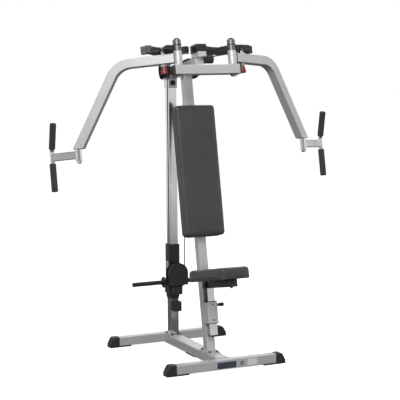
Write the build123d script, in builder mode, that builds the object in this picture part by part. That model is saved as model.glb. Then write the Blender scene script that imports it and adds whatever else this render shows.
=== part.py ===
from build123d import *
from math import asin, atan2, cos, degrees, hypot, pi, radians, sin, tan
import os

# Pec deck machine with a plate-loaded carriage.
# X is across the machine, +Y towards the weight upright, +Z up from the floor, all in mm.

# ---- driving dimensions ----
tube = 50.0
wall = 3.0
tube_corner = 4.0
base_length = 810.0
front_tube_length = 588.0
rear_tube_length = 624.0
main_tube_width = 75.0
pad_thickness = 6.0
foot_length = 56.0
foot_tail = 72.0
foot_width = 54.0
foot_wall = 2.0
foot_step = 20.0
foot_slope = 16.0
plug_depth = 18.0
short_plug_depth = 14.0
plug_clearance = 1.0
flange_thickness = 6.0
mast_flange_length = 118.0
upright_flange_length = 100.0
bolt_spacing = 22.0

lean = 10.5
pivot_y = -162.0
pivot_z = 1646.8
pivot_x = 160.0

upright_y = 298.5
mast_offset = 262.5
beam_bottom = -34.0
beam_rear = 512.0
stub_front = 25.0
crossmember_top = -39.0
crossmember_half = 190.0
end_cap = 11.0
neck_height = 36.0
neck_length = 100.0
riser_front = 37.0
stub_top = 43.0
box_width = 57.0
box_length = 83.0
box_height = 42.0
bracket_plate_height = 68.0
bracket_plate_thickness = 6.0
bracket_plate_z = 1512.0

spindle_radius = 12.5
running_clearance = 0.05
barrel_radius = 23.0
barrel_half = 35.0
bushing_flange = 3.7
cam_tube_radius = 21.8
cam_tube_bottom = 39.2
cam_tube_top = 97.0
cap_radius = 14.0
cap_height = 9.0
buffer_radius = 23.5
buffer_length = 53.0
buffer_reach = 78.0
buffer_height = 7.5

arm_rest_left = 35.2
hole_step = 10.3
arm_corner = 330.0
arm_bend_radius = 125.0
arm_drop_angle = 30.3
arm_end = -424.0
swivel_reach = 582.0
link_length = 150.0
link_swing_left = 38.0
link_swing_right = 18.0
swivel_radius = 9.0
swivel_hub_radius = 17.0
handle_top = -427.3
handle_bottom = -487.7
link_height = 42.0
link_width = 22.0
grip_centre = -455.0
rod_radius = 12.5
grip_radius = 17.5
grip_length = 150.0
handle_bend_radius = 60.0

cam_radius = 172.0
cam_core_radius = 163.0
cam_inner_radius = 140.0
cam_plate_bottom = 46.0
cam_plate_thickness = 4.0
groove_width = 7.0
cam_rim_top = 84.0
hub_top = 70.0
hub_top_radius = 66.0
hub_start_angle = 52.0
hub_sweep = 136.0
cam_start_angle = 44.0
cam_end_angle = 152.0
range_plate_radius = 98.0
range_hole_radius = 80.0
range_hole_count = 5
anchor_width = 9.6
anchor_height = 40.0
anchor_reach = 22.0
cam_stop_reach = 145.0
cam_stop_angle = 49.0
cam_stop_drop = 50.0
pin_radius = 5.0
pin_barrel_radius = 12.0
pin_barrel_bottom = -39.0
knob_radius = 13.0
knob_height = 38.0

cable_radius = 3.0
fall_x = 48.0
fall_y = 237.0
pulley_pitch = 48.0
pulley_groove_radius = 45.0
pulley_radius = 54.0
pulley_width = 24.0
pulley_web_recess = 7.0
axle_radius = 5.0
cheek_margin = 4.0
cheek_thickness = 4.0

carriage_bottom = 301.0
carriage_top = 587.0
carriage_width = 64.0
carriage_axle_z = 425.0
horn_z = 366.0
horn_radius = 12.5
horn_tip = 249.0
horn_collar_radius = 32.0
horn_collar = 6.0
horn_shoulder = 60.0
carriage_foot_height = 48.0
housing_radius = 59.5
housing_plate = 6.0
foot_block_front = 226.0
rest_ring_bottom = 281.0
rest_collar_bottom = 270.0
bumper_depth = 47.0
bumper_height = 53.0
bumper_z = 230.0

back_pad_width = 245.0
back_pad_top = -222.0
back_pad_bottom = -944.0
back_pad_thickness = 50.0
board_thickness = 9.0
seat_top = -1122.0
seat_thickness = 62.0
seat_front = -145.0
seat_rear = 155.0
seat_front_width = 165.0
seat_rear_width = 308.0
post_width = 45.0
post_offset = 207.5
post_bottom = -1479.0
sleeve_width = 60.0
sleeve_bottom = -1414.0
sleeve_top = -1300.0
seat_pin_height = -1318.0
liner_thickness = 4.0
pin_collar = 16.0
pin_knob_radius = 10.0
pin_knob_length = 26.0
pin_reach = 58.0
seat_hole_step = 30.0
support_height = 40.0
support_front_gap = 53.0

# ---- derived values ----
main_top = pad_thickness + tube
plug_width = tube - 2 * wall - plug_clearance
tilt = radians(lean)
mast_front = mast_offset - tube / 2
cable_height = cam_plate_bottom + cam_plate_thickness + groove_width / 2
cam_pitch_radius = cam_core_radius + cable_radius + 0.2
pin_rest = cam_plate_bottom - 0.3
anchor_end = cam_end_angle + 0.8
support_bottom = seat_top - seat_thickness - support_height
barrel_bore = 16.0
liner_outside = post_width + 2 * liner_thickness

# Tilted frame of the head: local X across, local Y towards the rear, local Z along the arm pivots.
head = Plane(origin=(0, pivot_y, pivot_z), x_dir=(1, 0, 0), z_dir=(0, sin(tilt), cos(tilt)))

# Cable run: a tangent from the cam's pitch circle to the point over the falling cable.
corner_reach = (fall_y - pivot_y - cable_height * sin(tilt)) / cos(tilt)
corner_inset = pivot_x - fall_x
run_angle = atan2(corner_reach, corner_inset) - asin(cam_pitch_radius / hypot(corner_reach, corner_inset))
run_slope = asin(sin(run_angle) * sin(tilt))
corner_z = pivot_z - corner_reach * sin(tilt) + cable_height * cos(tilt)
turn_length = pulley_pitch * tan((pi / 2 - run_slope) / 2)
top_pulley_z = corner_z - turn_length
run_plan = Vector(cos(run_angle), sin(run_angle) * cos(tilt), 0).normalized()

sides = {"left": -1, "right": 1}
rest_swing = {"left": arm_rest_left, "right": arm_rest_left - hole_step}
link_swing = {"left": link_swing_left, "right": link_swing_right}


def pivot_plane(side):
    # Head frame moved to one arm's pivot.
    return Plane(head.from_local_coords(Vector(side * pivot_x, 0, 0)), x_dir=(1, 0, 0), z_dir=head.z_dir)


def arm_plane(side, swing):
    # Plane through one arm: local X outward along the arm, local Y up the pivot.
    pivot = pivot_plane(side)
    outward = Vector(side * cos(radians(swing)), sin(radians(swing)), 0)
    direction = pivot.from_local_coords(outward) - pivot.origin
    return Plane(pivot.origin, x_dir=direction, z_dir=direction.cross(head.z_dir))


def pulley_plane(side):
    # Plane of one top pulley, local X along the incoming cable.
    along = Vector(-side * run_plan.X, run_plan.Y, 0)
    centre = Vector(side * fall_x, fall_y, top_pulley_z) - along * pulley_pitch
    return Plane(centre, x_dir=along, z_dir=along.cross(Vector(0, 0, 1)))


def cam_point(side, radius, angle):
    # Point on a cam, the angle measured from the inboard direction towards the rear.
    return (-side * radius * cos(radians(angle)), radius * sin(radians(angle)))


def tube_section(width, height):
    # Hollow rectangular tube section.
    RectangleRounded(width, height, tube_corner)
    RectangleRounded(width - 2 * wall, height - 2 * wall, 1.0, mode=Mode.SUBTRACT)


def sector_section(side, inner, outer, start, end):
    # Ring sector, or a pie when the inner radius is zero.
    middle = (start + end) / 2
    with BuildLine() as outline:
        if inner > 0:
            ThreePointArc(cam_point(side, inner, start), cam_point(side, inner, middle),
                          cam_point(side, inner, end))
            Line(cam_point(side, inner, end), cam_point(side, outer, end))
            ThreePointArc(cam_point(side, outer, end), cam_point(side, outer, middle),
                          cam_point(side, outer, start))
            Line(cam_point(side, outer, start), cam_point(side, inner, start))
        else:
            Line((0, 0), cam_point(side, outer, end))
            ThreePointArc(cam_point(side, outer, end), cam_point(side, outer, middle),
                          cam_point(side, outer, start))
            Line(cam_point(side, outer, start), (0, 0))
    make_face(outline.edges())


def save(part, label):
    # Name one piece and write its STEP file.
    part.label = label
    export_step(part, "parts/" + label + ".step")


os.makedirs("parts", exist_ok=True)

# ---- base frame ----
with BuildPart() as main_tube:
    with BuildSketch(Plane.XZ.offset(base_length / 2 - tube)):
        with Locations((0, pad_thickness + tube / 2)):
            tube_section(main_tube_width, tube)
    extrude(amount=-(base_length - 2 * tube))
save(main_tube.part, "main_tube")

for end_name, end_sign, length in (("front", -1, front_tube_length), ("rear", 1, rear_tube_length)):
    end_y = end_sign * (base_length - tube) / 2
    with BuildPart() as cross_tube:
        with BuildSketch(Plane.YZ.offset(-length / 2)):
            with Locations((end_y, pad_thickness + tube / 2)):
                tube_section(tube, tube)
        extrude(amount=length)
    save(cross_tube.part, end_name + "_cross_tube")

    with BuildPart() as feet:
        for side in (-1, 1):
            with BuildSketch(Plane.XZ.offset(-end_y)):
                with BuildLine():
                    Polyline(
                        (side * (length / 2 - foot_tail), 0),
                        (side * (length / 2 + foot_length), 0),
                        (side * (length / 2 + foot_length), foot_step),
                        (side * (length / 2 + foot_length - foot_slope), main_top - 3 * foot_wall),
                        (side * (length / 2 + foot_length - 1.5 * foot_slope), main_top + foot_wall),
                        (side * length / 2, main_top + foot_wall),
                        (side * length / 2, pad_thickness),
                        (side * (length / 2 - foot_tail), pad_thickness),
                        close=True,
                    )
                make_face()
            extrude(amount=foot_width / 2, both=True)
            with Locations((side * (length - plug_depth) / 2, end_y, pad_thickness + tube / 2)):
                Box(plug_depth, plug_width, plug_width)
        chamfer(feet.edges().filter_by(Axis.X).group_by(Axis.Z)[-1], 3)
    save(feet.part, end_name + "_feet")

with BuildPart() as floor_pad:
    with BuildSketch(Plane.XY):
        RectangleRounded(main_tube_width - 5, 120, 8)
    extrude(amount=pad_thickness)
save(floor_pad.part, "floor_pad")

# ---- mast and weight upright ----
mast_foot_height = (main_top - pivot_z + mast_offset * sin(tilt)) / cos(tilt)
mast_foot_y = pivot_y + mast_offset * cos(tilt) + mast_foot_height * sin(tilt)
with BuildPart() as mast:
    with BuildSketch(head.offset(beam_bottom)):
        with Locations((0, mast_offset)):
            tube_section(tube, tube)
    extrude(amount=-pivot_z)
    split(bisect_by=Plane.XY.offset(main_top + flange_thickness), keep=Keep.TOP)
    with Locations((0, mast_foot_y, main_top + flange_thickness / 2)):
        Box(main_tube_width - 2, mast_flange_length, flange_thickness)
save(mast.part, "mast")

with BuildPart() as upright:
    with BuildSketch(Plane.XY.offset(main_top + flange_thickness)):
        with Locations((0, upright_y)):
            tube_section(tube, tube)
    extrude(amount=pivot_z)
    split(bisect_by=head.offset(beam_bottom), keep=Keep.BOTTOM)
    with Locations((0, upright_y, main_top + flange_thickness / 2)):
        Box(main_tube_width - 2, upright_flange_length, flange_thickness)
save(upright.part, "upright")


# ---- head frame ----
with BuildPart() as top_beam:
    beam_start = head.from_local_coords(Vector(0, stub_front + tube, beam_bottom + tube / 2))
    with BuildSketch(Plane(beam_start, x_dir=(1, 0, 0), z_dir=(0, cos(tilt), -sin(tilt)))):
        tube_section(tube, tube)
    extrude(amount=beam_rear - stub_front - tube)
    with BuildSketch(Plane(beam_start, x_dir=(1, 0, 0), z_dir=(0, cos(tilt), -sin(tilt)))):
        Rectangle(tube - wall, tube - wall)
    extrude(amount=wall)
    riser_start = head.from_local_coords(Vector(0, riser_front, (beam_bottom + tube + stub_top) / 2))
    with BuildSketch(Plane(riser_start, x_dir=(1, 0, 0), z_dir=(0, cos(tilt), -sin(tilt)))):
        RectangleRounded(tube, stub_top - beam_bottom - tube, 2)
    extrude(amount=box_length)
save(top_beam.part, "top_beam")

with BuildPart(head) as crossmember:
    with BuildSketch(Plane(head.from_local_coords(Vector(-crossmember_half, 0, crossmember_top - tube / 2)),
                           x_dir=(0, cos(tilt), -sin(tilt)), z_dir=(1, 0, 0))):
        tube_section(tube, tube)
    extrude(amount=2 * crossmember_half)
    for side in (-1, 1):
        with Locations((side * pivot_x, 0, crossmember_top - tube / 2)):
            Cylinder(spindle_radius + running_clearance, tube + 2, mode=Mode.SUBTRACT)
save(crossmember.part, "crossmember")

with BuildPart(head) as crossmember_caps:
    for side in (-1, 1):
        with Locations((side * (crossmember_half + end_cap / 2), 0, crossmember_top - tube / 2)):
            Box(end_cap, tube - plug_clearance, tube - plug_clearance)
    fillet(crossmember_caps.faces().sort_by(Axis.X)[-1].edges(), 4)
    fillet(crossmember_caps.faces().sort_by(Axis.X)[0].edges(), 4)
    for side in (-1, 1):
        with Locations((side * (crossmember_half - short_plug_depth / 2), 0, crossmember_top - tube / 2)):
            Box(short_plug_depth, plug_width, plug_width)
    with Locations((0, beam_rear + end_cap / 4, beam_bottom + tube / 2)):
        Box(tube - plug_clearance, end_cap / 2, tube - plug_clearance)
save(crossmember_caps.part, "tube_plugs")

with BuildPart() as head_stub:
    neck_start = head.from_local_coords(Vector(0, stub_front, beam_bottom - neck_height / 2))
    with BuildSketch(Plane(neck_start, x_dir=(1, 0, 0), z_dir=(0, cos(tilt), -sin(tilt)))):
        tube_section(tube, neck_height)
    extrude(amount=neck_length)
save(head_stub.part, "head_stub")

with BuildPart(head) as head_box:
    with Locations((0, riser_front + box_length / 2, stub_top + box_height / 2)):
        Box(box_width, box_length, box_height)
    fillet(head_box.edges().filter_by(Axis.X).group_by(Axis.Z)[-1], 5)
save(head_box.part, "head_box")

with BuildPart() as upright_bracket:
    for face_sign in (-1, 1):
        with Locations((0, upright_y + face_sign * (tube + bracket_plate_thickness) / 2, bracket_plate_z)):
            Box(tube, bracket_plate_thickness, bracket_plate_height)
    split(bisect_by=head.offset(beam_bottom), keep=Keep.BOTTOM)
    for face_sign in (-1, 1):
        with BuildSketch(Plane.XZ.offset(-upright_y - face_sign * (tube / 2 + bracket_plate_thickness))):
            with Locations((0, bracket_plate_z - 5)):
                RegularPolygon(12, 6)
        extrude(amount=-8 * face_sign)
save(upright_bracket.part, "upright_bracket")

with BuildPart() as frame_bolts:
    for bolt_y in (mast_foot_y - 45, mast_foot_y + 45, upright_y - 38, upright_y + 38):
        with BuildSketch(Plane.XY.offset(main_top + flange_thickness)):
            with Locations((-bolt_spacing, bolt_y), (bolt_spacing, bolt_y)):
                RegularPolygon(9, 6)
        extrude(amount=7)
    with BuildSketch(head.offset(crossmember_top - tube)):
        with Locations((-pivot_x, 0), (pivot_x, 0)):
            RegularPolygon(20, 6)
            Circle(spindle_radius, mode=Mode.SUBTRACT)
    extrude(amount=-8)
save(frame_bolts.part, "frame_bolts")

for name, side in sides.items():
    pivot = pivot_plane(side)
    with BuildPart(pivot) as spindle:
        with BuildSketch(pivot.offset(crossmember_top - tube - 12)):
            Circle(spindle_radius)
        extrude(amount=cam_tube_top + 3 + 12 + tube - crossmember_top)
        with BuildSketch(pivot.offset(crossmember_top)):
            Circle(17)
        extrude(amount=0.25)
    save(spindle.part, name + "_spindle")

with BuildPart() as spindle_caps:
    for side in (-1, 1):
        pivot = pivot_plane(side)
        with BuildSketch(pivot.offset(cam_tube_top + 0.4)):
            Circle(cap_radius)
        extrude(amount=cap_height)
        with BuildSketch(pivot.offset(cam_tube_top + 0.3)):
            Circle(spindle_radius + running_clearance)
        extrude(amount=2.75, mode=Mode.SUBTRACT)
    fillet(spindle_caps.edges().filter_by(GeomType.CIRCLE).group_by(Axis.Z)[-1], 5)
save(spindle_caps.part, "spindle_caps")

with BuildPart(head) as stop_buffer:
    with Locations(((tube + buffer_length) / 2, buffer_reach, buffer_height)):
        Cylinder(buffer_radius, buffer_length, rotation=(0, 90, 0))
    fillet(stop_buffer.edges().filter_by(GeomType.CIRCLE), 2)
save(stop_buffer.part, "stop_buffer")

# ---- top pulleys and their bracket ----
with BuildPart() as pulley_bracket:
    for side in (-1, 1):
        plane = pulley_plane(side)
        cheek_gap = pulley_width / 2 + 3
        for offset in (cheek_gap, -cheek_gap - cheek_thickness):
            with BuildSketch(plane.offset(offset)):
                Circle(pulley_radius + cheek_margin)
            extrude(amount=cheek_thickness)
        with BuildSketch(plane.offset(-cheek_gap)):
            Circle(axle_radius)
        extrude(amount=2 * cheek_gap)
        with BuildSketch(plane.offset(-side * (cheek_gap + 3))):
            RectangleRounded(44, 30, 4)
        extrude(amount=-side * 80)
    with Locations(head):
        with Locations((0, beam_rear / 2, beam_bottom + tube / 2)):
            Box(tube + 0.02, beam_rear, tube + 0.02, mode=Mode.SUBTRACT)
    with Locations((0, upright_y / 2, top_pulley_z)):
        Box(tube - 1, 2 * upright_y, 400, mode=Mode.SUBTRACT)
save(pulley_bracket.part, "pulley_bracket")


def pulley(plane, label):
    # Grooved cable pulley turning about the plane's normal.
    with BuildPart() as wheel:
        with BuildSketch(plane.offset(-pulley_width / 2)):
            Circle(pulley_radius)
            Circle(axle_radius + running_clearance, mode=Mode.SUBTRACT)
        extrude(amount=pulley_width)
        with BuildSketch(Plane(plane.origin, x_dir=plane.x_dir, z_dir=plane.y_dir)):
            with BuildLine():
                Polyline((pulley_groove_radius, 4), (pulley_radius + 1, 9), (pulley_radius + 1, -9),
                         (pulley_groove_radius, -4), close=True)
            make_face()
        revolve(axis=Axis(plane.origin, plane.z_dir), mode=Mode.SUBTRACT)
        for face_offset, direction in ((pulley_width / 2, -1), (-pulley_width / 2, 1)):
            with BuildSketch(plane.offset(face_offset)):
                Circle(36)
                Circle(14, mode=Mode.SUBTRACT)
            extrude(amount=pulley_web_recess * direction, mode=Mode.SUBTRACT)
    save(wheel.part, label)


pulley(pulley_plane(-1), "left_top_pulley")
pulley(pulley_plane(1), "right_top_pulley")
carriage_pulley_plane = Plane((0, fall_y, carriage_axle_z), x_dir=(1, 0, 0), z_dir=(0, -1, 0))
pulley(carriage_pulley_plane, "carriage_pulley")

# ---- cams, arms and handles ----
for name, side in sides.items():
    pivot = pivot_plane(side)
    swing = rest_swing[name]
    arm_frame = arm_plane(side, swing)
    pin_angle = 180 - swing
    first_hole = 180 - arm_rest_left

    with BuildPart(pivot) as cam:
        with BuildSketch(pivot.offset(cam_plate_bottom)):
            sector_section(side, 0, cam_radius, cam_start_angle, cam_end_angle)
            sector_section(side, 0, range_plate_radius, first_hole - 10,
                           first_hole + hole_step * (range_hole_count - 1) + 9)
            Circle(cam_tube_radius, mode=Mode.SUBTRACT)
            for hole in range(range_hole_count):
                with Locations(cam_point(side, range_hole_radius, first_hole + hole * hole_step)):
                    Circle(pin_radius + 0.3, mode=Mode.SUBTRACT)
        extrude(amount=cam_plate_thickness)
        with BuildSketch(pivot.offset(cam_plate_bottom + cam_plate_thickness)):
            sector_section(side, cam_inner_radius, cam_core_radius, cam_start_angle, cam_end_angle)
        extrude(amount=groove_width)
        with BuildSketch(pivot.offset(cam_plate_bottom + cam_plate_thickness + groove_width)):
            sector_section(side, cam_inner_radius, cam_radius, cam_start_angle, cam_end_angle)
        extrude(amount=cam_rim_top - cam_plate_bottom - cam_plate_thickness - groove_width)
        for spoke_angle in (58, 98, 138):
            with BuildSketch(pivot.offset(cam_plate_bottom)):
                sector_section(side, 30, cam_inner_radius + 4, spoke_angle - 4, spoke_angle + 4)
            extrude(amount=14)
        with BuildSketch(arm_plane(side, 180 - hub_start_angle)):
            with BuildLine():
                Polyline(
                    (cam_tube_radius, cam_plate_bottom + 2),
                    (range_plate_radius, cam_plate_bottom + 2),
                    (range_plate_radius, cam_plate_bottom + cam_plate_thickness),
                    (hub_top_radius, hub_top),
                    (cam_tube_radius, hub_top),
                    close=True,
                )
            make_face()
        revolve(axis=Axis(pivot.origin, head.z_dir * -side), revolution_arc=hub_sweep)
        for hole in range(range_hole_count):
            with BuildSketch(pivot.offset(cam_plate_bottom)):
                with Locations(cam_point(side, range_hole_radius, first_hole + hole * hole_step)):
                    Circle(pin_radius + 0.3)
            extrude(amount=hub_top, mode=Mode.SUBTRACT)
        with BuildSketch(pivot.offset(cam_rim_top - 4 - anchor_height)):
            sector_section(side, cam_inner_radius + 24, cam_radius + anchor_reach,
                           anchor_end - anchor_width, anchor_end)
        extrude(amount=anchor_height)
        if side > 0:
            with BuildSketch(pivot.offset(cam_plate_bottom)):
                with Locations(cam_point(side, cam_stop_reach, cam_stop_angle)):
                    Circle(7)
            extrude(amount=-cam_stop_drop)
    save(cam.part, name + "_cam")

    with BuildPart() as cam_tube:
        with BuildSketch(pivot.offset(cam_tube_bottom)):
            Circle(cam_tube_radius)
            Circle(spindle_radius + running_clearance, mode=Mode.SUBTRACT)
        extrude(amount=cam_tube_top - cam_tube_bottom)
        fillet(cam_tube.edges().filter_by(GeomType.CIRCLE).sort_by(Axis((0, 0, 0), head.z_dir))[-1], 3)
    save(cam_tube.part, name + "_cam_tube")

    with BuildPart() as arm:
        with BuildLine(arm_frame):
            FilletPolyline(
                (18, 0),
                (arm_corner, 0),
                (arm_corner + 560 * sin(radians(arm_drop_angle)), -560 * cos(radians(arm_drop_angle))),
                radius=arm_bend_radius,
            )
        with BuildSketch(Plane(arm_frame.from_local_coords(Vector(18, 0, 0)), x_dir=arm_frame.z_dir,
                               z_dir=arm_frame.x_dir)):
            tube_section(tube, tube)
        sweep()
        split(bisect_by=pivot.offset(arm_end), keep=Keep.TOP)
        with BuildSketch(pivot.offset(-barrel_half)):
            Circle(barrel_radius)
        extrude(amount=2 * barrel_half)
        with BuildSketch(pivot.offset(-barrel_half)):
            Circle(barrel_bore + 0.1)
        extrude(amount=2 * barrel_half, mode=Mode.SUBTRACT)
        with BuildSketch(pivot.offset(-barrel_half)):
            with Locations(cam_point(side, range_hole_radius, pin_angle)):
                Circle(pin_barrel_radius + 0.1)
        extrude(amount=2 * barrel_half, mode=Mode.SUBTRACT)
        with BuildSketch(pivot.offset(arm_end)):
            with Locations(cam_point(side, swivel_reach, pin_angle)):
                Rectangle(48, 34, rotation=-side * swing)
        extrude(amount=5)
    save(arm.part, name + "_arm")

    with BuildPart() as bushings:
        for direction in (-1, 1):
            with BuildSketch(pivot.offset(direction * (barrel_half + bushing_flange))):
                Circle(barrel_radius)
                Circle(spindle_radius + running_clearance, mode=Mode.SUBTRACT)
            extrude(amount=-direction * bushing_flange)
            with BuildSketch(pivot.offset(direction * barrel_half)):
                Circle(barrel_bore)
                Circle(spindle_radius + running_clearance, mode=Mode.SUBTRACT)
            extrude(amount=-direction * 24)
    save(bushings.part, name + "_bushings")

    with BuildPart() as pin_housing:
        with BuildSketch(pivot.offset(pin_barrel_bottom)):
            with Locations(cam_point(side, range_hole_radius, pin_angle)):
                Circle(pin_barrel_radius)
                Circle(pin_radius + running_clearance, mode=Mode.SUBTRACT)
        extrude(amount=cam_plate_bottom - 0.5 - pin_barrel_bottom)
        with BuildSketch(pivot.offset(-tube / 2 - 0.2)):
            with Locations(cam_point(side, range_hole_radius, pin_angle)):
                RegularPolygon(17, 6)
                Circle(11, mode=Mode.SUBTRACT)
        extrude(amount=-10)
    save(pin_housing.part, name + "_pin_housing")

    with BuildPart() as range_pin:
        with BuildSketch(pivot.offset(pin_rest)):
            with Locations(cam_point(side, range_hole_radius, pin_angle)):
                Circle(pin_radius)
        extrude(amount=-pin_rest - 60)
        with BuildSketch(pivot.offset(pin_barrel_bottom - 0.3)):
            with Locations(cam_point(side, range_hole_radius, pin_angle)):
                Circle(knob_radius)
        extrude(amount=-knob_height, taper=-11)
        fillet(range_pin.edges().filter_by(GeomType.CIRCLE).group_by(Axis.Z)[0], 4)
    save(range_pin.part, name + "_range_pin")

    with BuildPart() as swivel_pin:
        for radius, top, bottom in ((swivel_radius, arm_end, handle_bottom - 0.3),
                                    (swivel_hub_radius + 2, arm_end, arm_end - 3),
                                    (swivel_hub_radius, handle_bottom - 0.3, handle_bottom - 5.3)):
            with BuildSketch(pivot.offset(top)):
                with Locations(cam_point(side, swivel_reach, pin_angle)):
                    Circle(radius)
            extrude(amount=bottom - top)
        with BuildSketch(pivot.offset(handle_bottom - 5.3)):
            with Locations(cam_point(side, swivel_reach, pin_angle)):
                RegularPolygon(13, 6)
        extrude(amount=-10)
    save(swivel_pin.part, name + "_swivel_pin")

    swivel = Plane(arm_frame.from_local_coords(Vector(swivel_reach, 0, 0)), x_dir=(1, 0, 0), z_dir=head.z_dir)
    link_turn = radians(link_swing[name])
    grip_origin = swivel.from_local_coords(Vector(side * cos(link_turn), sin(link_turn), 0) * link_length)
    grip = Plane(grip_origin, x_dir=(1, 0, 0), z_dir=head.z_dir)
    link_axis = (grip.origin - swivel.origin).normalized()
    upper_grip = Plane(grip.offset(grip_centre + 29).origin, x_dir=(1, 0, 0), z_dir=(0, -sin(tilt), cos(tilt)))
    lower_grip = Plane(grip.offset(grip_centre - 25).origin, x_dir=(1, 0, 0), z_dir=-head.z_dir)
    rod_bottom = lower_grip.offset(grip_length).origin
    with BuildPart() as handle:
        with BuildLine():
            FilletPolyline(rod_bottom, upper_grip.origin, upper_grip.offset(grip_length).origin,
                           radius=handle_bend_radius)
        with BuildSketch(Plane(rod_bottom, x_dir=(1, 0, 0), z_dir=head.z_dir)):
            Circle(rod_radius)
        sweep()
        with BuildSketch(swivel.offset(handle_top)):
            Circle(swivel_hub_radius)
        extrude(amount=handle_bottom - handle_top)
        link_start = swivel.offset(grip_centre).origin
        with BuildSketch(Plane(link_start, x_dir=link_axis.cross(head.z_dir), z_dir=link_axis)):
            RectangleRounded(link_width, link_height, 4)
        extrude(amount=link_length)
        with BuildSketch(swivel.offset(handle_top + 1)):
            Circle(swivel_radius + running_clearance)
        extrude(amount=handle_bottom - handle_top - 2, mode=Mode.SUBTRACT)
    save(handle.part, name + "_handle")

    with BuildPart() as grips:
        for rod, start in ((upper_grip, 16), (lower_grip, 7)):
            with BuildSketch(rod.offset(start)):
                Circle(grip_radius)
            extrude(amount=grip_length + 10 - start)
        fillet(grips.edges().filter_by(GeomType.CIRCLE), 5)
        for rod in (upper_grip, lower_grip):
            with BuildSketch(rod):
                Circle(rod_radius)
            extrude(amount=grip_length, mode=Mode.SUBTRACT)
    save(grips.part, name + "_grips")

# ---- weight carriage ----
with BuildPart() as carriage:
    with BuildSketch(Plane.XY.offset(carriage_bottom)):
        with Locations((0, upright_y)):
            RectangleRounded(carriage_width, carriage_width, 5)
    extrude(amount=carriage_top - carriage_bottom)
    with BuildSketch(Plane.XY.offset(carriage_bottom)):
        with Locations((0, upright_y)):
            RectangleRounded(carriage_width + 8, carriage_width + 8, 5)
    extrude(amount=carriage_foot_height)
    with Locations((0, (foot_block_front + upright_y) / 2, carriage_bottom + carriage_foot_height / 2)):
        Box(box_width, upright_y - foot_block_front, carriage_foot_height)
    with BuildSketch(Plane.XY.offset(carriage_bottom)):
        with Locations((0, upright_y)):
            RectangleRounded(tube + 2 * running_clearance, tube + 2 * running_clearance, tube_corner)
    extrude(amount=carriage_top - carriage_bottom, mode=Mode.SUBTRACT)
save(carriage.part, "carriage")

carriage_front = upright_y - carriage_width / 2
plate_gap = pulley_width / 2 + 5
with BuildPart() as pulley_housing:
    for plate_y in (fall_y - plate_gap, fall_y + plate_gap + housing_plate):
        with BuildSketch(Plane.XZ.offset(-plate_y)):
            with Locations((0, carriage_axle_z)):
                Circle(housing_radius)
            with Locations((0, carriage_axle_z - 34)):
                Rectangle(2 * housing_radius, 68)
        extrude(amount=housing_plate)
    with BuildSketch(Plane.XZ.offset(-fall_y + plate_gap)):
        with Locations((0, carriage_axle_z)):
            Circle(axle_radius)
    extrude(amount=-2 * plate_gap)
    with BuildSketch(Plane.XZ.offset(-fall_y + plate_gap + housing_plate)):
        with Locations((0, carriage_axle_z)):
            RegularPolygon(9, 6)
    extrude(amount=6)
    for spacer_x in (-47, 47):
        with BuildSketch(Plane.XZ.offset(-fall_y + plate_gap)):
            with Locations((spacer_x, carriage_axle_z - 58)):
                Circle(7)
        extrude(amount=-2 * plate_gap)
    rear_face = fall_y + plate_gap + housing_plate
    with Locations((0, (rear_face + carriage_front) / 2, carriage_axle_z + 6)):
        Box(44, carriage_front - rear_face, 100)
save(pulley_housing.part, "pulley_housing")

with BuildPart() as weight_horns:
    for side in (-1, 1):
        for radius, inner_x, outer_x in ((horn_radius + 3.5, carriage_width / 2, horn_shoulder - horn_collar),
                                         (horn_collar_radius, horn_shoulder - horn_collar, horn_shoulder),
                                         (horn_radius, horn_shoulder, horn_tip)):
            with BuildSketch(Plane.YZ.offset(side * inner_x)):
                with Locations((upright_y, horn_z)):
                    Circle(radius)
            extrude(amount=side * (outer_x - inner_x))
    chamfer(weight_horns.faces().sort_by(Axis.X)[0].edges(), 2)
    chamfer(weight_horns.faces().sort_by(Axis.X)[-1].edges(), 2)
save(weight_horns.part, "weight_horns")

for label, size, bottom, top in (("rest_ring", tube + 10, rest_ring_bottom, carriage_bottom - 0.3),
                                 ("rest_collar", tube + 6, rest_collar_bottom, rest_ring_bottom)):
    with BuildPart() as ring:
        with BuildSketch(Plane.XY.offset(bottom)):
            with Locations((0, upright_y)):
                RectangleRounded(size, size, 6)
                RectangleRounded(tube, tube, tube_corner, mode=Mode.SUBTRACT)
        extrude(amount=top - bottom)
    save(ring.part, label)

with BuildPart() as bumper:
    with Locations((0, upright_y - tube / 2 - bumper_depth / 2, bumper_z)):
        Box(tube, bumper_depth, bumper_height)
    fillet(bumper.edges().filter_by(Axis.Z).group_by(Axis.Y)[0], 8)
save(bumper.part, "bumper_block")

# ---- cable ----
for name, side in sides.items():
    pivot = pivot_plane(side)
    tangent_angle = degrees(run_angle) + 90
    tangent = pivot.from_local_coords(Vector(*cam_point(side, cam_pitch_radius, tangent_angle), cable_height))
    corner = Vector(side * fall_x, fall_y, corner_z)
    incoming = (corner - tangent).normalized()
    turn_start = corner - incoming * turn_length
    turn_end = Vector(side * fall_x, fall_y, top_pulley_z)
    with BuildPart() as top_run:
        with BuildLine():
            Line(tangent, turn_start)
            TangentArc(turn_start, turn_end, tangent=incoming)
        with BuildSketch(Plane(tangent, z_dir=incoming)):
            Circle(cable_radius)
        sweep()
    save(top_run.part, name + "_top_cable")

    with BuildPart() as fall:
        with BuildSketch(Plane.XY.offset(carriage_axle_z)):
            with Locations((side * fall_x, fall_y)):
                Circle(cable_radius)
        extrude(amount=top_pulley_z - carriage_axle_z)
    save(fall.part, name + "_fall_cable")

with BuildPart() as cable_loop:
    with BuildLine(Plane((0, fall_y, carriage_axle_z), x_dir=(1, 0, 0), z_dir=(0, -1, 0))):
        ThreePointArc((-fall_x, 0), (0, -pulley_pitch), (fall_x, 0))
    with BuildSketch(Plane.XY.offset(carriage_axle_z)):
        with Locations((-fall_x, fall_y)):
            Circle(cable_radius)
    sweep()
save(cable_loop.part, "cable_loop")

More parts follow.
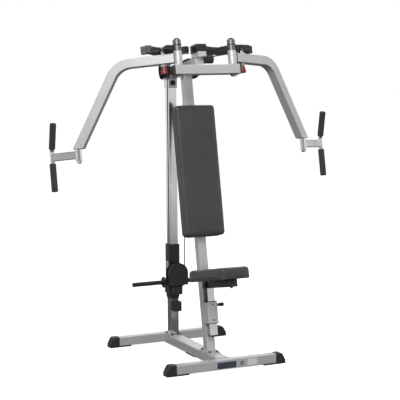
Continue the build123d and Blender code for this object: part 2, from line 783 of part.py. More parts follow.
# ---- back pad and seat ----
pad_face = Plane(head.from_local_coords(Vector(0, mast_front, (back_pad_top + back_pad_bottom) / 2)),
                 x_dir=(1, 0, 0), z_dir=(0, -cos(tilt), sin(tilt)))
with BuildPart() as back_pad:
    with BuildSketch(pad_face.offset(board_thickness)):
        RectangleRounded(back_pad_width, back_pad_top - back_pad_bottom, 22)
    extrude(amount=back_pad_thickness)
    fillet(back_pad.faces().sort_by(Axis((0, 0, 0), (0, -cos(tilt), sin(tilt))))[-1].edges(), 14)
save(back_pad.part, "back_pad")

with BuildPart() as back_board:
    with BuildSketch(pad_face):
        RectangleRounded(back_pad_width - 12, back_pad_top - back_pad_bottom - 12, 18)
    extrude(amount=board_thickness)
save(back_board.part, "back_board")

with BuildPart() as seat_sleeve:
    with BuildSketch(head.offset(sleeve_bottom)):
        with Locations((0, post_offset)):
            RectangleRounded(sleeve_width, sleeve_width, 5)
            RectangleRounded(liner_outside, liner_outside, 2, mode=Mode.SUBTRACT)
    extrude(amount=sleeve_top - sleeve_bottom)
    with BuildSketch(Plane(head.from_local_coords(Vector(sleeve_width / 2 - 5, post_offset, seat_pin_height)),
                           x_dir=(0, cos(tilt), -sin(tilt)), z_dir=(1, 0, 0))):
        Circle(pin_radius + running_clearance)
    extrude(amount=20, mode=Mode.SUBTRACT)
save(seat_sleeve.part, "seat_sleeve")

with BuildPart() as sleeve_liners:
    for bottom, top in ((sleeve_bottom - liner_thickness, sleeve_bottom),
                        (sleeve_top, sleeve_top + liner_thickness)):
        with BuildSketch(head.offset(bottom)):
            with Locations((0, post_offset)):
                RectangleRounded(sleeve_width, sleeve_width, 5)
                RectangleRounded(post_width + 2 * running_clearance, post_width + 2 * running_clearance,
                                 tube_corner, mode=Mode.SUBTRACT)
        extrude(amount=top - bottom)
    for bottom, top in ((sleeve_bottom, sleeve_bottom + 30), (sleeve_top - 8, sleeve_top)):
        with BuildSketch(head.offset(bottom)):
            with Locations((0, post_offset)):
                RectangleRounded(liner_outside, liner_outside, 2)
                RectangleRounded(post_width + 2 * running_clearance, post_width + 2 * running_clearance,
                                 tube_corner, mode=Mode.SUBTRACT)
        extrude(amount=top - bottom)
save(sleeve_liners.part, "sleeve_liners")

with BuildPart() as seat_pin:
    pin_axis = Plane(head.from_local_coords(Vector(post_width / 2 + 0.3, post_offset, seat_pin_height)),
                     x_dir=(0, cos(tilt), -sin(tilt)), z_dir=(1, 0, 0))
    with BuildSketch(pin_axis):
        Circle(pin_radius)
    extrude(amount=pin_reach - 4)
    with BuildSketch(pin_axis.offset(sleeve_width / 2 - post_width / 2)):
        Circle(pin_knob_radius - 1)
    extrude(amount=pin_collar)
    with BuildSketch(pin_axis.offset(pin_reach - pin_knob_length)):
        Circle(pin_knob_radius)
    extrude(amount=pin_knob_length)
    fillet(seat_pin.faces().sort_by(Axis.X)[-1].edges(), 6)
save(seat_pin.part, "seat_pin")

with BuildPart() as seat_post:
    with BuildSketch(head.offset(post_bottom)):
        with Locations((0, post_offset)):
            RectangleRounded(post_width, post_width, tube_corner)
            RectangleRounded(post_width - 2 * wall, post_width - 2 * wall, 1, mode=Mode.SUBTRACT)
    extrude(amount=support_bottom - post_bottom)
    for hole in range(-4, 4):
        with Locations(head):
            with Locations((0, post_offset, seat_pin_height + hole * seat_hole_step)):
                Cylinder(pin_radius + 0.3, post_width + 2, rotation=(0, 90, 0), mode=Mode.SUBTRACT)
save(seat_post.part, "seat_post")

with BuildPart() as seat_support:
    support_start = seat_front + support_front_gap
    support_front = head.from_local_coords(Vector(0, support_start, support_bottom + support_height / 2))
    with BuildSketch(Plane(support_front, x_dir=(1, 0, 0), z_dir=(0, cos(tilt), -sin(tilt)))):
        tube_section(tube, support_height)
    extrude(amount=post_offset + post_width / 2 + 2 - support_start)
    with BuildSketch(Plane(support_front, x_dir=(1, 0, 0), z_dir=(0, cos(tilt), -sin(tilt)))):
        Rectangle(tube - 2 * wall, support_height - 2 * wall)
    extrude(amount=wall)
save(seat_support.part, "seat_support")

with BuildPart() as seat_pad:
    with BuildSketch(head.offset(seat_top - seat_thickness)):
        with BuildLine():
            Polyline(
                (-seat_front_width / 2, seat_front),
                (seat_front_width / 2, seat_front),
                (seat_rear_width / 2, seat_rear),
                (-seat_rear_width / 2, seat_rear),
                close=True,
            )
        make_face()
    extrude(amount=seat_thickness)
    fillet(seat_pad.edges().filter_by(Axis((0, 0, 0), head.z_dir)), 30)
    fillet(seat_pad.faces().sort_by(Axis((0, 0, 0), head.z_dir))[-1].edges(), 14)
save(seat_pad.part, "seat_pad")
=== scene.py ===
from math import asin, atan2, cos, hypot, pi, radians, sin, tan

import bmesh
import bpy
from mathutils import Matrix, Vector
from mathutils.bvhtree import BVHTree

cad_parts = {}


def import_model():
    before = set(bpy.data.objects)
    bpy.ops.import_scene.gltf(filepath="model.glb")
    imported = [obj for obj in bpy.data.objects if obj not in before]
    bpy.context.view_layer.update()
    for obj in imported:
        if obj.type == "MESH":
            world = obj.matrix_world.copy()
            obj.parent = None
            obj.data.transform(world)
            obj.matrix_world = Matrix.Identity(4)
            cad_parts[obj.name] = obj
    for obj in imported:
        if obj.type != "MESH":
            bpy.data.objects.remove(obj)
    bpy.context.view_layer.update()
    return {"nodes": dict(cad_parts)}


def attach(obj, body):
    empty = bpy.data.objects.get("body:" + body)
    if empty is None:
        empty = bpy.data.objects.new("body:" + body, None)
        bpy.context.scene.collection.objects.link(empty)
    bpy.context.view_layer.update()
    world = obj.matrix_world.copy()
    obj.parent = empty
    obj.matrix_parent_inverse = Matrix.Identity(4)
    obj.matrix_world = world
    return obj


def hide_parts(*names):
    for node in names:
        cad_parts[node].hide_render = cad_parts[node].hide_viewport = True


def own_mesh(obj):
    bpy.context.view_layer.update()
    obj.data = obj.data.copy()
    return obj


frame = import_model()
nodes = frame["nodes"]
scene = bpy.context.scene

# ---- dimensions shared by several pieces, in millimetres ----
UPRIGHT_Y = 298.5
MAST_OFFSET = 262.5
POST_OFFSET = 207.5
HORN_Z = 366.0
MAST_TOP, MAIN_TOP = -34.0, 56.0
FLANGE_TOP = MAIN_TOP + 6.8
BARREL_RADIUS = 23.0
KNOB_RADIUS = 13.0
KNOB_TAPER = radians(11)
PIN_CIRCLE = 80.0
BOARD_WIDTH, BOARD_HEIGHT = 214.0, 692.0
BOARD_TOP, BOARD_BOTTOM = -222.0, -944.0
FORWARD_Y = Vector((0, 1, 0))
VERTICAL = Vector((0, 0, 1))

# ---- tilted frame of the head, millimetres in, metres out ----
LEAN = radians(10.5)
PIVOT_Y, PIVOT_Z, PIVOT_X = -162.0, 1646.8, 160.0
ACROSS = Vector((1, 0, 0))
REAR = Vector((0, cos(LEAN), -sin(LEAN)))
UP = Vector((0, sin(LEAN), cos(LEAN)))
ORIGIN = Vector((0, PIVOT_Y, PIVOT_Z)) / 1000
REST_SWING = {"left": 35.2, "right": 24.9}
SIDES = {"left": -1, "right": 1}


def head(x, rear, up):
    return ORIGIN + (ACROSS * x + REAR * rear + UP * up) / 1000


def world(x, y, z):
    return Vector((x, y, z)) / 1000


def cam_point(side, radius, angle, up):
    a = radians(angle)
    return head(side * (PIVOT_X - radius * cos(a)), radius * sin(a), up)


# ---- materials ----
def link(tree, a, b):
    tree.links.new(a, b)


def noise(tree, vector, scale, detail=4.0, roughness=0.55):
    n = tree.nodes.new("ShaderNodeTexNoise")
    n.inputs["Scale"].default_value = scale
    n.inputs["Detail"].default_value = detail
    n.inputs["Roughness"].default_value = roughness
    link(tree, vector, n.inputs["Vector"])
    return n.outputs[0]


def remap(tree, value, low, high, to_low, to_high):
    n = tree.nodes.new("ShaderNodeMapRange")
    for i, v in ((1, low), (2, high), (3, to_low), (4, to_high)):
        n.inputs[i].default_value = v
    link(tree, value, n.inputs[0])
    return n.outputs[0]


def mix(tree, factor, a, b):
    n = tree.nodes.new("ShaderNodeMix")
    n.data_type = "RGBA"
    link(tree, factor, n.inputs[0])
    for socket, value in ((n.inputs[6], a), (n.inputs[7], b)):
        if isinstance(value, tuple):
            socket.default_value = (*value, 1)
        else:
            link(tree, value, socket)
    return n.outputs[2]


def bump(tree, height, strength, distance, normal=None):
    n = tree.nodes.new("ShaderNodeBump")
    n.inputs["Strength"].default_value = strength
    n.inputs["Distance"].default_value = distance
    link(tree, height, n.inputs["Height"])
    if normal is not None:
        link(tree, normal, n.inputs["Normal"])
    return n.outputs[0]


def material(name, colour, second, metallic, rough, patch=9.0, grain=600.0, relief=(0.15, 0.0002),
             cells=None, wear=None, coat=0.0, sheen=0.0, specular=0.5,
             stretch=(1, 1, 1), rings=None, edge=0.0012):
    """Procedural finish: patchy tint, fine grain, varied roughness, relief and rubbed edges."""
    m = bpy.data.materials.new(name)
    m.use_nodes = True
    tree = m.node_tree
    shader = tree.nodes["Principled BSDF"]
    coords = tree.nodes.new("ShaderNodeTexCoord")
    mapping = tree.nodes.new("ShaderNodeMapping")
    mapping.inputs["Scale"].default_value = stretch
    link(tree, coords.outputs["Object"], mapping.inputs[0])
    vector = mapping.outputs[0]
    patches = noise(tree, coords.outputs["Object"], patch, 5)
    fine = noise(tree, vector, grain, 3)
    tint = mix(tree, remap(tree, patches, 0.3, 0.7, 0, 1), colour, second)
    speck = mix(tree, remap(tree, fine, 0.55, 0.8, 0, 0.35), tint,
                tuple(min(1.0, c * 1.5 + 0.01) for c in colour))
    normal = None
    if edge:
        bevel = tree.nodes.new("ShaderNodeBevel")
        bevel.samples = 4
        bevel.inputs["Radius"].default_value = edge
        normal = bevel.outputs[0]
    if wear:
        geometry = tree.nodes.new("ShaderNodeNewGeometry")
        dot = tree.nodes.new("ShaderNodeVectorMath")
        dot.operation = "DOT_PRODUCT"
        link(tree, normal, dot.inputs[0])
        link(tree, geometry.outputs["Normal"], dot.inputs[1])
        rubbed = tree.nodes.new("ShaderNodeMath")
        rubbed.operation = "MULTIPLY"
        link(tree, remap(tree, dot.outputs["Value"], 0.985, 0.85, 0, 1), rubbed.inputs[0])
        link(tree, remap(tree, noise(tree, coords.outputs["Object"], 45, 6), 0.45, 0.62, 0, 0.8),
             rubbed.inputs[1])
        speck = mix(tree, rubbed.outputs[0], speck, wear)
    link(tree, speck, shader.inputs["Base Color"])
    link(tree, remap(tree, noise(tree, vector, patch * 3.5, 6), 0.3, 0.7, rough[0], rough[1]),
         shader.inputs["Roughness"])
    shader.inputs["Metallic"].default_value = metallic
    shader.inputs["Coat Weight"].default_value = coat
    shader.inputs["Coat Roughness"].default_value = 0.2
    shader.inputs["Sheen Weight"].default_value = sheen
    shader.inputs["Specular IOR Level"].default_value = specular
    height = fine
    if cells:
        voronoi = tree.nodes.new("ShaderNodeTexVoronoi")
        voronoi.feature = "DISTANCE_TO_EDGE"
        voronoi.inputs["Scale"].default_value = cells
        link(tree, vector, voronoi.inputs["Vector"])
        height = remap(tree, voronoi.outputs[0], 0.0, 0.12, 0, 1)
        normal = bump(tree, noise(tree, vector, cells * 0.3, 4), relief[0] * 0.6, relief[1] * 2, normal)
    if rings:
        wave = tree.nodes.new("ShaderNodeTexWave")
        wave.bands_direction = "Z"
        wave.inputs["Scale"].default_value = rings
        wave.inputs["Distortion"].default_value = 2.5
        link(tree, vector, wave.inputs["Vector"])
        normal = bump(tree, wave.outputs[1], relief[0], relief[1], normal)
    normal = bump(tree, height, relief[0], relief[1], normal)
    link(tree, normal, shader.inputs["Normal"])
    return m


LOOKS = {
    "silver_paint": material("silver_paint_look", (0.74, 0.74, 0.745), (0.66, 0.66, 0.67), 0.40,
                             (0.30, 0.42), 5, 900, (0.10, 0.00012), wear=(0.86, 0.86, 0.87), coat=0.25),
    "chrome": material("chrome_look", (0.86, 0.86, 0.88), (0.78, 0.78, 0.80), 1.0, (0.07, 0.16), 7,
                       900, (0.015, 0.00003), stretch=(1, 1, 0.3), edge=0.001),
    "grey_paint": material("grey_paint_look", (0.24, 0.24, 0.25), (0.19, 0.19, 0.2), 0.8,
                           (0.26, 0.4), 14, 700, (0.12, 0.00012), wear=(0.42, 0.42, 0.43), coat=0.2),
    "black_paint": material("black_paint_look", (0.022, 0.022, 0.024), (0.03, 0.03, 0.033), 0.15,
                            (0.3, 0.46), 8, 420, (0.22, 0.0002), wear=(0.13, 0.13, 0.135), coat=0.15),
    "black_plastic": material("black_plastic_look", (0.024, 0.024, 0.026), (0.035, 0.035, 0.037), 0.0,
                              (0.42, 0.6), 11, 900, (0.3, 0.00025), cells=700),
    "rubber": material("rubber_look", (0.026, 0.026, 0.028), (0.042, 0.041, 0.04), 0.0, (0.6, 0.82), 16,
                       500, (0.35, 0.0003), specular=0.35),
    "grip_rubber": material("grip_rubber_look", (0.036, 0.036, 0.039), (0.052, 0.052, 0.055), 0.0,
                            (0.6, 0.8), 20, 900, (0.5, 0.0004), cells=520, sheen=0.15, specular=0.35),
    "vinyl": material("vinyl_look", (0.050, 0.050, 0.055), (0.066, 0.066, 0.072), 0.0, (0.36, 0.5), 6,
                      1500, (0.28, 0.0003), cells=430, coat=0.08, sheen=0.12, edge=0),
    "board_paint": material("board_paint_look", (0.02, 0.02, 0.021), (0.034, 0.032, 0.031), 0.0,
                            (0.5, 0.72), 10, 260, (0.3, 0.0003), stretch=(1, 1, 0.12), rings=55),
    "nylon": material("nylon_look", (0.66, 0.62, 0.48), (0.58, 0.54, 0.41), 0.0, (0.34, 0.5), 18, 700,
                      (0.12, 0.00015)),
    "red_plastic": material("red_plastic_look", (0.36, 0.025, 0.032), (0.28, 0.02, 0.028), 0.0,
                            (0.2, 0.36), 25, 800, (0.12, 0.00015), coat=0.3),
    "cable": material("cable_look", (0.02, 0.02, 0.022), (0.032, 0.032, 0.034), 0.0, (0.34, 0.5), 12,
                      900, (0.25, 0.0002), edge=0),
    "zinc": material("zinc_look", (0.12, 0.12, 0.125), (0.19, 0.19, 0.2), 0.9, (0.28, 0.46), 30, 800,
                     (0.25, 0.0002), stretch=(1, 1, 0.2), edge=0.0006),
}

for obj in nodes.values():
    for entry in obj.material_slots:
        key = entry.material.name.split(".")[0]
        if key in LOOKS:
            entry.material = LOOKS[key]


# ---- mesh helpers ----
def piece(name, bm, look, body, smooth=True):
    bmesh.ops.recalc_face_normals(bm, faces=bm.faces)
    mesh = bpy.data.meshes.new(name)
    bm.to_mesh(mesh)
    bm.free()
    obj = bpy.data.objects.new(name, mesh)
    scene.collection.objects.link(obj)
    mesh.materials.append(look if isinstance(look, bpy.types.Material) else LOOKS[look])
    if smooth:
        mesh.polygons.foreach_set("use_smooth", [True] * len(mesh.polygons))
        mesh.set_sharp_from_angle(angle=radians(38))
    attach(obj, body)
    return obj


def basis(normal, hint=None):
    n = normal.normalized()
    u = (hint or (Vector((0, 0, 1)) if abs(n.z) < 0.9 else Vector((1, 0, 0))))
    u = (u - n * u.dot(n)).normalized()
    return n, u, n.cross(u)


def bridge(bm, ring_a, ring_b):
    count = len(ring_a)
    for i in range(count):
        j = (i + 1) % count
        bm.faces.new((ring_a[i], ring_a[j], ring_b[j], ring_b[i]))


def lathe(bm, centre, normal, profile, sides=24):
    """Turned shape from (radius, height) pairs in millimetres, closed at both ends."""
    n, u, v = basis(normal)
    rings = []
    for radius, height in profile:
        rings.append([bm.verts.new(centre + n * height / 1000 + (u * cos(2 * pi * i / sides)
                      + v * sin(2 * pi * i / sides)) * radius / 1000) for i in range(sides)])
    for a, b in zip(rings, rings[1:]):
        bridge(bm, a, b)
    bm.faces.new(rings[0][::-1])
    bm.faces.new(rings[-1])


def hex_bolt(bm, centre, normal, across, height):
    """Hexagon head on its washer, with the thread's end standing out of it."""
    washer = across * 1.35
    seat_top = centre + normal.normalized() * 0.0018
    lathe(bm, centre, normal, [(washer, 0), (washer, 1.2), (washer - 0.6, 1.8)])
    lathe(bm, seat_top, normal, [(across, 0), (across, height * 0.82), (across * 0.86, height)], 6)
    lathe(bm, seat_top, normal,
          [(across * 0.45, height * 0.8), (across * 0.45, height + 1.4), (across * 0.36, height + 2)], 16)


def socket_screw(bm, centre, normal, radius, height):
    """Round head with a sunk socket."""
    lathe(bm, centre, normal, [(radius * 0.98, 0), (radius, height * 0.3), (radius * 0.86, height * 0.8),
                               (radius * 0.62, height), (radius * 0.46, height),
                               (radius * 0.42, height * 0.35)], 18)


def tube(bm, points, radius, sides=12, closed=False):
    """Tube along points; radius is millimetres or a function of (distance in mm, angle)."""
    count = len(points)
    tangents = []
    for i in range(count):
        a = points[(i - 1) % count] if closed or i else points[0]
        b = points[(i + 1) % count] if closed or i < count - 1 else points[-1]
        tangents.append((b - a).normalized())
    u = basis(tangents[0])[1]
    rings, run = [], 0.0
    for i, point in enumerate(points):
        t = tangents[i]
        u = (u - t * u.dot(t)).normalized()
        v = t.cross(u)
        if i:
            run += (point - points[i - 1]).length * 1000
        ring = []
        for k in range(sides):
            a = 2 * pi * k / sides
            r = radius(run, a) if callable(radius) else radius
            ring.append(bm.verts.new(point + (u * cos(a) + v * sin(a)) * r / 1000))
        rings.append(ring)
    for a, b in zip(rings, rings[1:]):
        bridge(bm, a, b)
    if closed:
        bridge(bm, rings[-1], rings[0])
    else:
        bm.faces.new(rings[0][::-1])
        bm.faces.new(rings[-1])


def resample(corners, step, closed):
    """The same outline with a point about every step millimetres."""
    pts = []
    total = len(corners)
    for i in range(total if closed else total - 1):
        a, b = corners[i], corners[(i + 1) % total]
        parts = max(1, round((b - a).length * 1000 / step))
        pts += [a.lerp(b, k / parts) for k in range(parts)]
    if not closed:
        pts.append(corners[-1])
    return pts


def bead(s, a):
    """A weld bead's radius along its run, with its ripples."""
    return 2.1 + 0.42 * abs(sin(pi * s / 4.2)) + 0.15 * sin(s * 0.31)


def weld(bm, corners, closed=True):
    tube(bm, resample(corners, 1.4, closed), bead, 8, closed)


def ring_points(centre, normal, radius, start=0.0, sweep=2 * pi, count=72, hint=None):
    n, u, v = basis(normal, hint)
    whole = abs(sweep - 2 * pi) < 1e-6
    steps = count if whole else count + 1
    return [centre + (u * cos(start + sweep * i / count) + v * sin(start + sweep * i / count))
            * radius / 1000 for i in range(steps)]


def rectangle(centre, u, v, width, height, corner=3.0):
    """Rounded rectangle's outline, a closed list of points."""
    pts = []
    for sx, sy, begin in ((1, 1, 0), (-1, 1, 90), (-1, -1, 180), (1, -1, 270)):
        for k in range(5):
            a = radians(begin + 22.5 * k)
            pts.append(centre + (u * (sx * (width / 2 - corner) + corner * cos(a))
                                 + v * (sy * (height / 2 - corner) + corner * sin(a))) / 1000)
    return pts


def plate(bm, centre, u, v, width, height, thickness, corner=3.0, lip=0.3):
    """Rounded plate standing on its centre plane, with a small chamfer round its top."""
    n = u.cross(v).normalized()
    rings = []
    for inset, rise in ((0, 0), (0, thickness - lip), (lip, thickness)):
        pts = rectangle(centre + n * rise / 1000, u, v, width - 2 * inset, height - 2 * inset,
                        max(corner - inset, 0.2))
        rings.append([bm.verts.new(p) for p in pts])
    for a, b in zip(rings, rings[1:]):
        bridge(bm, a, b)
    bm.faces.new(rings[0][::-1])
    bm.faces.new(rings[-1])


# ---- pads ----
def evaluated(obj):
    graph = bpy.context.evaluated_depsgraph_get()
    return bpy.data.meshes.new_from_object(obj.evaluated_get(graph))


def cushion(name, node, body, flat_axis, cap, inset, dent):
    """Padded piece grown from its CAD solid: remeshed, blown up as cloth, then given its seam."""
    bm = bmesh.new()
    bm.from_mesh(nodes[node].data)
    bmesh.ops.remove_doubles(bm, verts=bm.verts, dist=0.00002)
    middle = sum((v.co for v in bm.verts), Vector()) / len(bm.verts)
    axes = [ACROSS, flat_axis.cross(ACROSS).normalized(), flat_axis]
    spans = []
    for axis in axes:
        reach = [(v.co - middle).dot(axis) for v in bm.verts]
        spans.append((min(reach), max(reach)))
    for v in bm.verts:
        local = v.co - middle
        moved = Vector()
        for axis, (low, high) in zip(axes, spans):
            d = local.dot(axis)
            half = (high - low) / 2
            centre = (high + low) / 2
            if axis is flat_axis:
                d = low + (d - low) * (1 - inset / (high - low) / 1000)
            else:
                d = centre + (d - centre) * (1 - inset / half / 1000)
            moved += axis * d
        v.co = middle + moved
    mesh = bpy.data.meshes.new(name)
    bm.to_mesh(mesh)
    bm.free()
    obj = bpy.data.objects.new(name, mesh)
    scene.collection.objects.link(obj)
    remesh = obj.modifiers.new("remesh", "REMESH")
    remesh.mode = "VOXEL"
    remesh.voxel_size = 0.005
    obj.data = evaluated(obj)
    obj.modifiers.clear()
    base = min((v.co - middle).dot(flat_axis) for v in obj.data.vertices)
    rest = [v.co.copy() for v in obj.data.vertices]
    flat = [(co - middle).dot(flat_axis) < base + 0.006 for co in rest]
    group = obj.vertex_groups.new(name="flat")
    group.add([i for i, f in enumerate(flat) if f], 1.0, "REPLACE")
    cloth = obj.modifiers.new("cloth", "CLOTH")
    settings = cloth.settings
    settings.quality = 5
    settings.mass = 0.4
    settings.tension_stiffness = 30
    settings.compression_stiffness = 30
    settings.shear_stiffness = 12
    settings.bending_stiffness = 1.5
    settings.use_pressure = True
    settings.uniform_pressure_force = 4
    settings.vertex_group_mass = "flat"
    settings.effector_weights.gravity = 0
    cloth.point_cache.frame_start = 1
    cloth.point_cache.frame_end = 20
    for number in range(1, 21):
        scene.frame_set(number)
    grown = [v.co.copy() for v in evaluated(obj).vertices]
    obj.modifiers.clear()
    scene.frame_set(1)
    for v, start, end, held in zip(obj.data.vertices, rest, grown, flat):
        shift = end - start
        if shift.length > cap / 1000:
            shift *= cap / 1000 / shift.length
        v.co = start if held else start + shift
    smooth = obj.modifiers.new("smooth", "SMOOTH")
    smooth.factor = 0.5
    smooth.iterations = 3
    finer = obj.modifiers.new("finer", "SUBSURF")
    finer.levels = finer.render_levels = 1
    obj.data = evaluated(obj)
    obj.modifiers.clear()
    # The seam sits a little above the board, where the side panel meets the face.
    level = base + dent / 1000
    for v in obj.data.vertices:
        h = (v.co - middle).dot(flat_axis)
        gap = abs(h - level)
        if gap < 0.005:
            out = v.co - middle
            out -= flat_axis * out.dot(flat_axis)
            v.co -= out.normalized() * 0.0016 * (1 - gap / 0.005) ** 2
        if h < base:
            v.co += flat_axis * (base - h)
    obj.data.polygons.foreach_set("use_smooth", [True] * len(obj.data.polygons))
    obj.data.materials.clear()
    obj.data.materials.append(LOOKS["vinyl"])
    tree = BVHTree.FromPolygons([v.co for v in obj.data.vertices],
                                [tuple(p.vertices) for p in obj.data.polygons])
    stitches = bmesh.new()
    edge = []
    seam_middle = middle + flat_axis * level
    rays = 720
    for i in range(rays):
        a = 2 * pi * i / rays
        # Rays start on a circle round the pad and meet its side.
        far = axes[0] * cos(a) * 0.9 + axes[1] * sin(a) * 0.9
        hit = tree.ray_cast(seam_middle + far, -far.normalized())[0]
        if hit:
            edge.append(hit)
    path = []
    for p in edge:
        if not path or (p - path[-1]).length > 0.0005:
            path.append(p)
    path = resample(path, 1.0, True)
    stitch_pitch = 7
    for i in range(0, len(path) - 5, stitch_pitch):
        a, b = path[i], path[i + 4]
        if (b - a).length < 0.001:
            continue
        out = (a + b) / 2 - seam_middle
        out -= flat_axis * out.dot(flat_axis)
        out = out.normalized() * 0.0002
        lift = flat_axis * 0.0028
        tube(stitches, [a + lift, a.lerp(b, 0.5) + lift + out * 2.5, b + lift], 0.42, 6)
    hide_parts(node)
    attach(obj, body)
    piece(name + "_stitches", stitches, "vinyl", body)
    welt = bmesh.new()
    tube(welt, [p - flat_axis * 0.0042 for p in path[::4]], 1.5, 8, True)
    piece(name + "_welt", welt, "vinyl", body)


cushion("back_cushion", "back_pad", "frame", -REAR, 2.4, 1.4, 9.0)
cushion("seat_cushion", "seat_pad", "seat", UP, 2.4, 1.4, 10.0)

# Staples that hold the cover to the board, seen from behind.
staples = bmesh.new()
board_middle = head(0, MAST_OFFSET - 25, (BOARD_TOP + BOARD_BOTTOM) / 2)
outline = resample(rectangle(board_middle, ACROSS, UP, BOARD_WIDTH, BOARD_HEIGHT, 14), 22, True)
for i, p in enumerate(outline):
    along = (outline[(i + 1) % len(outline)] - outline[i - 1]).normalized() * 0.005
    if abs(p.x) < 0.03:
        continue
    tube(staples, [p - along, p - along + REAR * 0.0009, p + along + REAR * 0.0009, p + along], 0.5, 6)
piece("board_staples", staples, "zinc", "frame")

# ---- cables ----
CABLE_W = 53.5
CABLE_R = 166.2
FALL_X, FALL_Y = 48.0, 237.0
PULLEY_PITCH = 48.0
AXLE_Z = 425.0
reach = (FALL_Y - PIVOT_Y - CABLE_W * sin(LEAN)) / cos(LEAN)
inset = PIVOT_X - FALL_X
run_angle = atan2(reach, inset) - asin(CABLE_R / hypot(reach, inset))
run_slope = asin(sin(run_angle) * sin(LEAN))
corner_z = PIVOT_Z - reach * sin(LEAN) + CABLE_W * cos(LEAN)
turn = PULLEY_PITCH * tan((pi / 2 - run_slope) / 2)
TOP_Z = corner_z - turn
plan = Vector((cos(run_angle), sin(run_angle) * cos(LEAN), 0)).normalized()


def strands(s, a):
    """The cable's radius, with its strands winding round it."""
    return 2.75 + 0.25 * abs(cos(3 * (a + s * 0.16)))


for name, side in SIDES.items():
    fall = bmesh.new()
    length = TOP_Z - AXLE_Z
    steps = 260
    # The lower end stays a hair above the loop, so the two never cut into each other.
    line = [world(side * FALL_X, FALL_Y, TOP_Z - (length - 0.4) * i / steps) for i in range(steps + 1)]
    tube(fall, line, strands, 18)
    obj = piece(name + "_fall_line", fall, "cable", "frame")
    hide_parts(name + "_fall_cable")
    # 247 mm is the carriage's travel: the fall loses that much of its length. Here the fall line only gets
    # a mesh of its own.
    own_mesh(obj)
    wrap = bmesh.new()
    tube(wrap, [cam_point(side, CABLE_R, 57 + (143 - 57) * i / 90, CABLE_W) for i in range(91)],
         strands, 12)
    piece(name + "_cam_line", wrap, "cable", name + "_cam")
    clamp = bmesh.new()
    tangent = (cam_point(side, CABLE_R, 143.2, CABLE_W) - cam_point(side, CABLE_R, 141, CABLE_W))
    for shift in (63.0, 72.0):
        face = cam_point(side, 179, 143.2, shift)
        socket_screw(clamp, face, -tangent, 4.0, 3.0)
    piece(name + "_anchor_screws", clamp, "zinc", name + "_cam")

# ---- fasteners ----
frame_screws = bmesh.new()
for height in (-1313.0, -1397.5):
    socket_screw(frame_screws, head(2, 177.5, height), -REAR, 4.5, 3.0)
piece("sleeve_screws", frame_screws, "black_paint", "frame")

pulley_bolts = bmesh.new()
for side in (-1, 1):
    along = Vector((-side * plan.x, plan.y, 0))
    centre = world(side * FALL_X, FALL_Y, TOP_Z) - along * PULLEY_PITCH / 1000
    axle = along.cross(VERTICAL)
    for direction in (-1, 1):
        hex_bolt(pulley_bolts, centre + axle * direction * 0.019, axle * direction, 8.5, 5.5)
piece("pulley_bolts", pulley_bolts, "zinc", "frame")

carriage_bolts = bmesh.new()
for x in (-47, 47):
    socket_screw(carriage_bolts, world(x, FALL_Y - 23, AXLE_Z - 58), Vector((0, -1, 0)), 5.5, 4.0)
for z in (325.0, 560.0):
    for sx in (-1, 1):
        face_x = 36 if z < 349 else 32
        socket_screw(carriage_bolts, world(sx * face_x, UPRIGHT_Y, z), Vector((sx, 0, 0)), 5, 3)
piece("carriage_screws", carriage_bolts, "zinc", "carriage")

caps = bmesh.new()
lathe(caps, world(0, 267.5, 1507), Vector((0, -1, 0)),
      [(15, 0), (15, 1.5), (13.2, 2), (12.8, 8), (10.5, 10), (6, 10.8), (1, 11)], 28)
piece("bracket_cap", caps, "black_plastic", "frame")
plug = bmesh.new()
plate(plug, head(0, POST_OFFSET, -1479.1), ACROSS, -REAR, 43, 43, 4, 5, 1)
hex_bolt(plug, head(0, POST_OFFSET, -1483), -UP, 7, 5)
piece("post_plug", plug, "black_plastic", "seat")

# ---- seat support nose and side strap ----
nose = bmesh.new()
lathe(nose, head(0, -92, -1223.5), UP, [(22, 0), (24.5, 1.5), (25, 4), (25, 35), (24.5, 38), (22, 39)], 40)
piece("support_nose", nose, "black_paint", "seat")
strap = bmesh.new()
plate(strap, head(-31.2, 186, -1243), UP, -REAR, 118, 20, 4.5, 9.5, 0.8)
lathe(strap, head(-25.2, 186, -1205), -ACROSS, [(7, 0), (7, 6.2)], 20)
piece("support_strap", strap, "black_paint", "seat")
strap_bolts = bmesh.new()
hex_bolt(strap_bolts, head(-35.7, 186, -1205), -ACROSS, 7, 4.5)
hex_bolt(strap_bolts, head(-35.7, 186, -1288), -ACROSS, 6, 4)
hex_bolt(strap_bolts, head(0, -75, -1224.2), -UP, 7, 4.5)
piece("support_bolts", strap_bolts, "zinc", "seat")

# ---- welds ----
welds = bmesh.new()
mast_centre = head(0, MAST_OFFSET, MAST_TOP)
weld(welds, rectangle(mast_centre - UP * 0.0012, ACROSS, REAR, 51, 51, 4))
foot_height = (MAIN_TOP - PIVOT_Z + MAST_OFFSET * sin(LEAN)) / cos(LEAN)
foot_y = PIVOT_Y + MAST_OFFSET * cos(LEAN) + foot_height * sin(LEAN)
weld(welds, rectangle(world(0, foot_y + 1.2, FLANGE_TOP), ACROSS, FORWARD_Y, 51, 52, 4))
weld(welds, rectangle(head(0, 25.8, -52.5), ACROSS, UP, 50, 34, 4))
for y in (-355.0, 355.0):
    weld(welds, [world(-37, y, 56.4), world(37, y, 56.4)], False)
    for sx in (-1, 1):
        weld(welds, [world(sx * 37.7, y, 53), world(sx * 37.7, y, 9)], False)
for height in (-1301.0, -1413.0):
    weld(welds, [head(-22, 237.3, height), head(22, 237.3, height)], False)
for sx in (-1, 1):
    weld(welds, [head(sx * 25.5, 237.2, -1304), head(sx * 25.5, 237.2, -1410)], False)
piece("frame_welds", welds, "silver_paint", "frame")

upright_welds = bmesh.new()
weld(upright_welds, rectangle(world(0, UPRIGHT_Y, FLANGE_TOP), ACROSS, FORWARD_Y, 51, 51, 4))
piece("upright_welds", upright_welds, "chrome", "frame")

